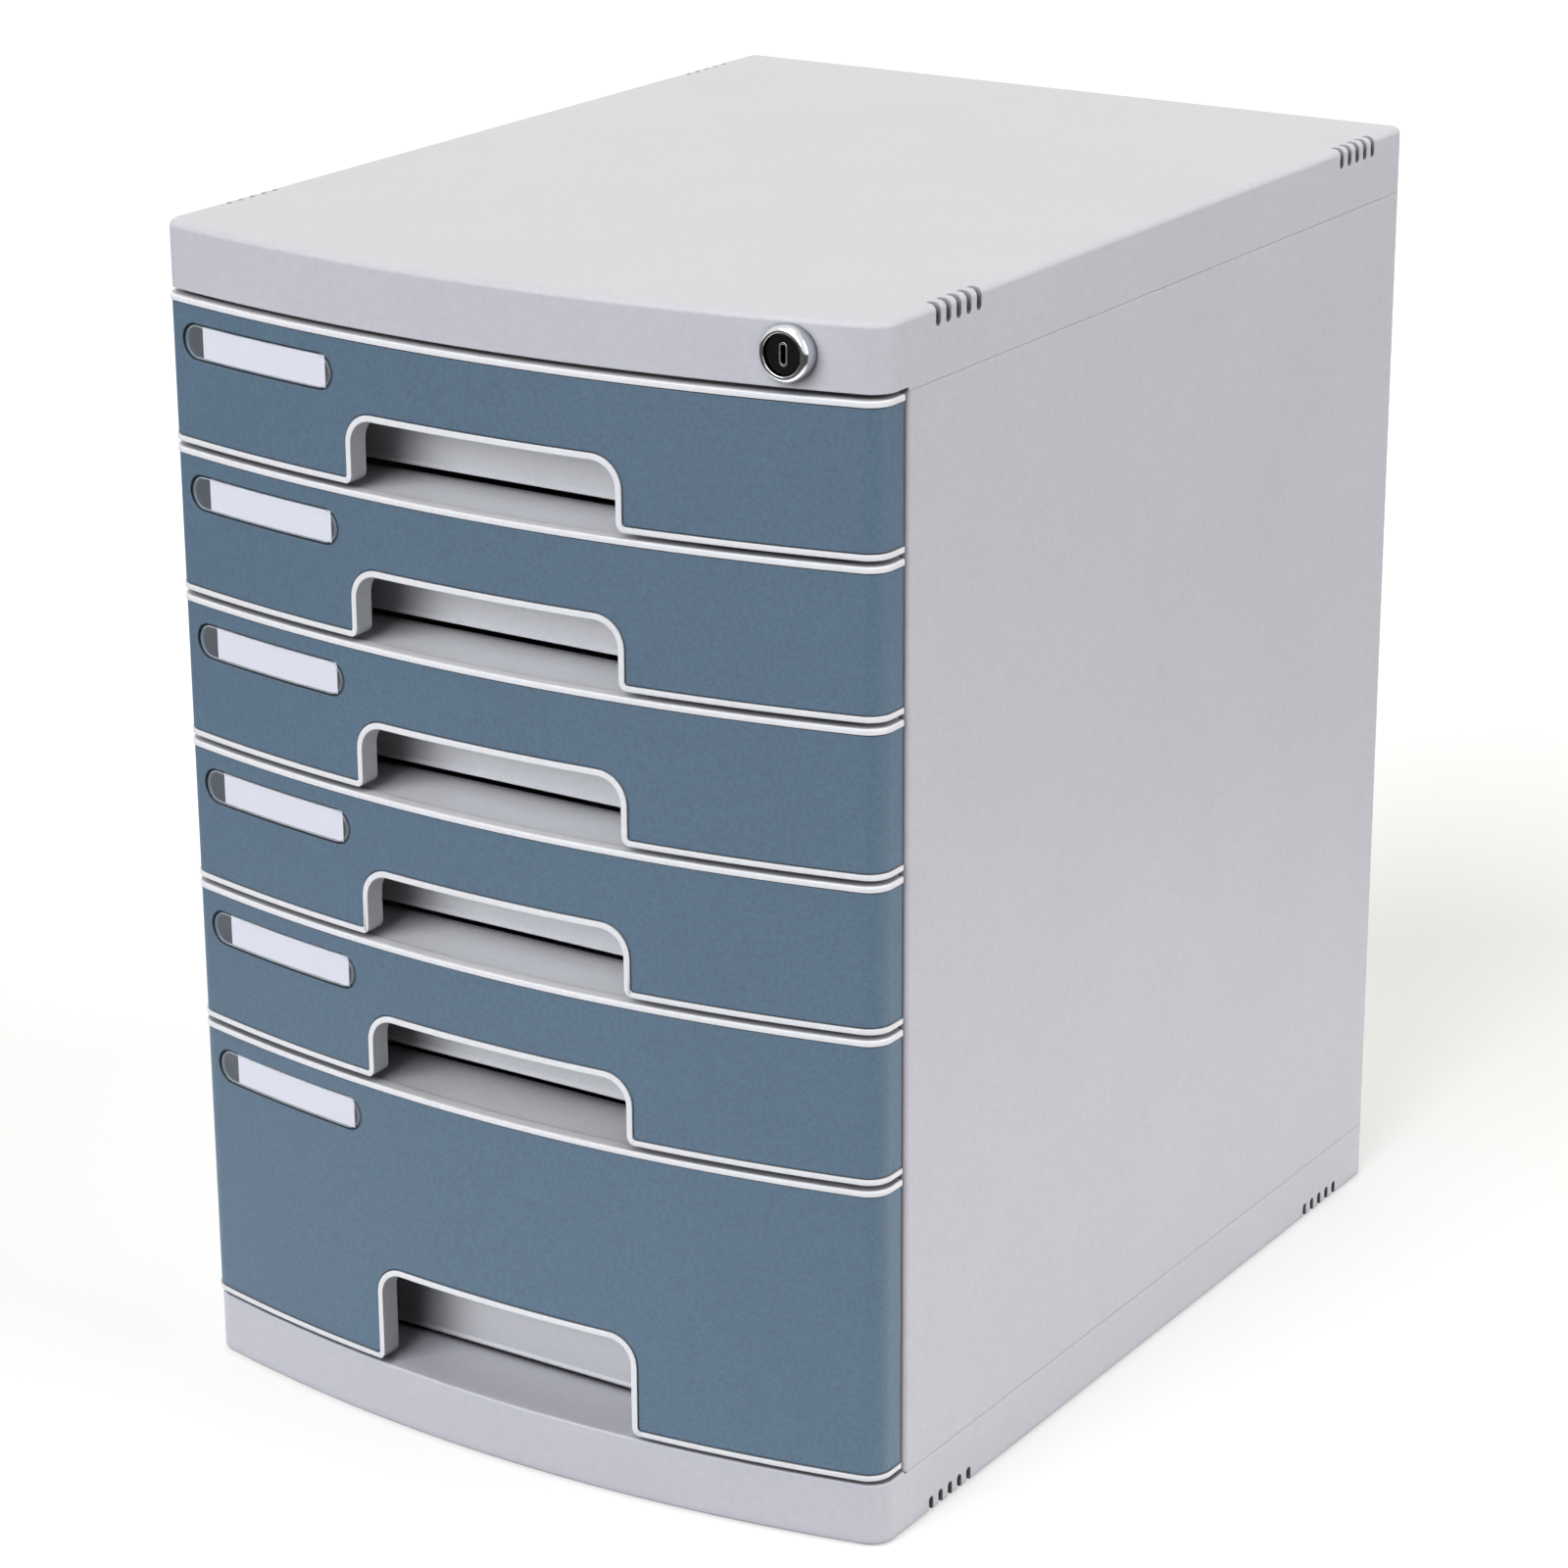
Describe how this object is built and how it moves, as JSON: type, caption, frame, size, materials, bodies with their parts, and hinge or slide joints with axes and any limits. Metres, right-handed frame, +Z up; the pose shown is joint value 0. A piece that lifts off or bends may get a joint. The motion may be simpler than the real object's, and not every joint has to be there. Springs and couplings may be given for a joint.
{
  "type": "desktop file drawer",
  "caption": "Desktop file drawer cabinet for A4 papers: bow-fronted, shallow drawers over a deep one, clear label windows, finger grips and a key lock with a lock bar.",
  "frame": {"origin": "middle of the footprint on the desk, below the rubber feet", "axes": "+X to the right seen from the front, +Y to the back (the drawers face -Y), +Z up"},
  "size_m": [0.3, 0.4, 0.441],
  "materials": {
    "casing": "fine moulded grain",
    "tray_plastic": "satin moulded",
    "fascia_plastic": "fine speckled grain",
    "label_card": "plain card",
    "label_window": "clear",
    "foot_rubber": "matte",
    "lock_chrome": "polished",
    "lock_black": "satin black",
    "lock_steel": "zinc plated"
  },
  "bodies": {
    "cabinet": {"top_cover": "casing", "base": "casing", "left_side_panel": "casing", "right_side_panel": "casing", "back_panel": "casing", "foot_front_left": "foot_rubber", "foot_front_right": "foot_rubber", "foot_rear_left": "foot_rubber", "foot_rear_right": "foot_rubber", "lock_housing": "lock_chrome", "lock_nut": "lock_steel"},
    "drawer_1": {"tray_1": "tray_plastic", "fascia_1": "fascia_plastic", "label_card_1": "label_card", "label_window_1": "label_window"},
    "drawer_2": {"tray_2": "tray_plastic", "fascia_2": "fascia_plastic", "label_card_2": "label_card", "label_window_2": "label_window"},
    "drawer_3": {"tray_3": "tray_plastic", "fascia_3": "fascia_plastic", "label_card_3": "label_card", "label_window_3": "label_window"},
    "drawer_4": {"tray_4": "tray_plastic", "fascia_4": "fascia_plastic", "label_card_4": "label_card", "label_window_4": "label_window"},
    "drawer_5": {"tray_5": "tray_plastic", "fascia_5": "fascia_plastic", "label_card_5": "label_card", "label_window_5": "label_window"},
    "drawer_6": {"tray_6": "tray_plastic", "fascia_6": "fascia_plastic", "label_card_6": "label_card", "label_window_6": "label_window"},
    "turning_lock": {"lock_plug": "lock_black", "lock_cam": "lock_steel", "cam_screw": "lock_steel"},
    "locking_bar": {"lock_bar": "lock_steel", "lock_catch_1": "lock_steel", "lock_catch_2": "lock_steel", "lock_catch_3": "lock_steel", "lock_catch_4": "lock_steel", "lock_catch_5": "lock_steel", "lock_catch_6": "lock_steel"}
  },
  "joints": [
    {"name": "drawer_1_slide", "type": "slide", "parent": "cabinet", "child": "drawer_1", "axis": [0, -1, 0], "range_m": [0, 0.25]},
    {"name": "drawer_2_slide", "type": "slide", "parent": "cabinet", "child": "drawer_2", "axis": [0, -1, 0], "range_m": [0, 0.25]},
    {"name": "drawer_3_slide", "type": "slide", "parent": "cabinet", "child": "drawer_3", "axis": [0, -1, 0], "range_m": [0, 0.25]},
    {"name": "drawer_4_slide", "type": "slide", "parent": "cabinet", "child": "drawer_4", "axis": [0, -1, 0], "range_m": [0, 0.25]},
    {"name": "drawer_5_slide", "type": "slide", "parent": "cabinet", "child": "drawer_5", "axis": [0, -1, 0], "range_m": [0, 0.25]},
    {"name": "drawer_6_slide", "type": "slide", "parent": "cabinet", "child": "drawer_6", "axis": [0, -1, 0], "range_m": [0, 0.25]},
    {"name": "lock_turn", "type": "hinge", "parent": "cabinet", "child": "turning_lock", "pos_m": [0.118, -0.18, 0.429], "axis": [0, -1, 0], "range_deg": [0, 90]},
    {"name": "lock_bar_lift", "type": "slide", "parent": "cabinet", "child": "locking_bar", "axis": [0, 0, 1], "range_m": [0, 0.00919]}
  ],
  "couplings": [
    {"joint": "lock_turn", "follows": "lock_bar_lift", "rad_per_m": 170.88}
  ]
}
